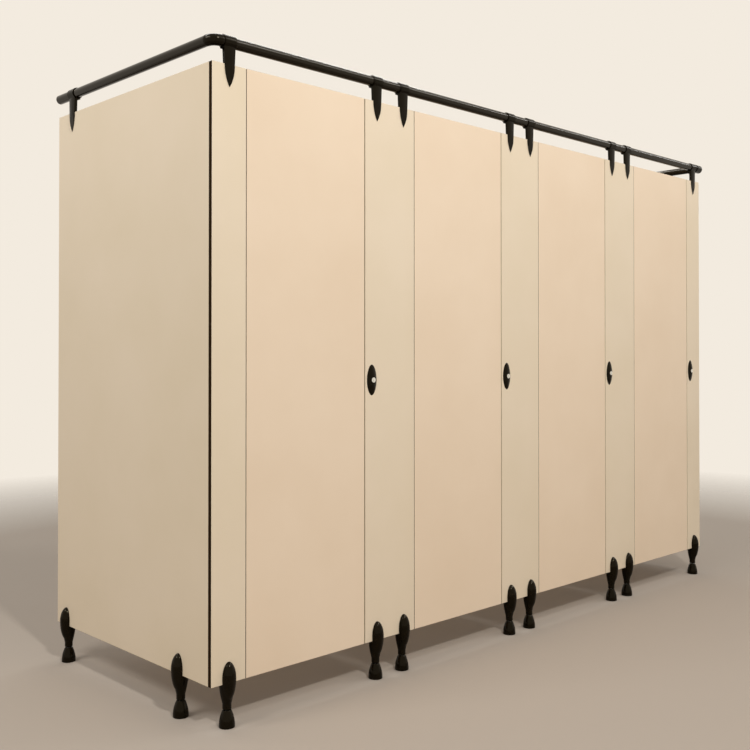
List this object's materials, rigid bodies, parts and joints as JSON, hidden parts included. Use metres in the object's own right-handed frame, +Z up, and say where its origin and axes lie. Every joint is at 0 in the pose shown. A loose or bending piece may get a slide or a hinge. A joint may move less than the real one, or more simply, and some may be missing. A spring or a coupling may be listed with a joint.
{
  "type": "toilet cubicle row",
  "caption": "Row of toilet cubicles in beige compact laminate on black nylon feet, with inward doors, turn locks and a round head rail.",
  "frame": {"origin": "on the floor, under the middle of the row's overall box", "axes": "+X along the row from its left end to its right end seen from the front, -Y out of the doors' face, +Z up"},
  "size_m": [3.2598, 1.0929, 2.2366],
  "materials": {
    "laminate": "fine matt beige decor with a black core",
    "coated_rail": "black satin powder coat on aluminium tube",
    "black_nylon": "black satin moulded nylon",
    "steel": "bright zinc",
    "satin_nickel": "satin nickel",
    "buffer_rubber": "matt grey beige"
  },
  "bodies": {
    "frame": {"left_end_panel": "laminate", "divider_1": "laminate", "divider_2": "laminate", "divider_3": "laminate", "right_end_panel": "laminate", "pilaster_1": "laminate", "pilaster_2": "laminate", "pilaster_3": "laminate", "pilaster_4": "laminate", "pilaster_5": "laminate", "headrail_front": "coated_rail", "headrail_left": "coated_rail", "headrail_right": "coated_rail", "headrail_elbow": "black_nylon", "headrail_tee": "black_nylon", "headrail_end_cap": "black_nylon", "rail_clips_1": "black_nylon", "rail_clips_2": "black_nylon", "rail_clips_3": "black_nylon", "rail_clips_4": "black_nylon", "rail_clips_5": "black_nylon", "side_rail_clips": "black_nylon", "pilaster_foot_clamps": "black_nylon", "partition_foot_clamps": "black_nylon", "foot_bases": "black_nylon", "corner_brackets": "black_nylon", "hinge_fixed_leaves": "black_nylon", "lock_outer_plates": "black_nylon", "lock_inner_plates": "black_nylon", "foot_studs": "steel", "clip_screws": "steel", "foot_screws": "steel", "board_screws": "steel", "hinge_pins": "steel", "buffer_strips": "buffer_rubber"},
    "door_leaf_1": {"door_1": "laminate", "door_hinge_leaves_1": "black_nylon", "door_strike_1": "black_nylon", "door_screws_1": "steel"},
    "door_leaf_2": {"door_2": "laminate", "door_hinge_leaves_2": "black_nylon", "door_strike_2": "black_nylon", "door_screws_2": "steel"},
    "door_leaf_3": {"door_3": "laminate", "door_hinge_leaves_3": "black_nylon", "door_strike_3": "black_nylon", "door_screws_3": "steel"},
    "door_leaf_4": {"door_4": "laminate", "door_hinge_leaves_4": "black_nylon", "door_strike_4": "black_nylon", "door_screws_4": "steel"},
    "lock_1": {"lock_spindle_1": "satin_nickel", "lock_latch_1": "black_nylon"},
    "lock_2": {"lock_spindle_2": "satin_nickel", "lock_latch_2": "black_nylon"},
    "lock_3": {"lock_spindle_3": "satin_nickel", "lock_latch_3": "black_nylon"},
    "lock_4": {"lock_spindle_4": "satin_nickel", "lock_latch_4": "black_nylon"}
  },
  "joints": [
    {"name": "door_1_hinge", "type": "hinge", "parent": "frame", "child": "door_leaf_1", "pos_m": [-1.469, -0.4965, 1.141], "axis": [0, 0, 1], "range_deg": [0, 95]},
    {"name": "door_2_hinge", "type": "hinge", "parent": "frame", "child": "door_leaf_2", "pos_m": [-0.669, -0.4965, 1.141], "axis": [0, 0, 1], "range_deg": [0, 95]},
    {"name": "door_3_hinge", "type": "hinge", "parent": "frame", "child": "door_leaf_3", "pos_m": [0.131, -0.4965, 1.141], "axis": [0, 0, 1], "range_deg": [0, 95]},
    {"name": "door_4_hinge", "type": "hinge", "parent": "frame", "child": "door_leaf_4", "pos_m": [0.931, -0.4965, 1.141], "axis": [0, 0, 1], "range_deg": [0, 95]},
    {"name": "lock_1_turn", "type": "hinge", "parent": "frame", "child": "lock_1", "pos_m": [-0.897, -0.5125, 1.105], "axis": [0, 1, 0], "range_deg": [0, 90]},
    {"name": "lock_2_turn", "type": "hinge", "parent": "frame", "child": "lock_2", "pos_m": [-0.097, -0.5125, 1.105], "axis": [0, 1, 0], "range_deg": [0, 90]},
    {"name": "lock_3_turn", "type": "hinge", "parent": "frame", "child": "lock_3", "pos_m": [0.703, -0.5125, 1.105], "axis": [0, 1, 0], "range_deg": [0, 90]},
    {"name": "lock_4_turn", "type": "hinge", "parent": "frame", "child": "lock_4", "pos_m": [1.503, -0.5125, 1.105], "axis": [0, 1, 0], "range_deg": [0, 90]}
  ]
}
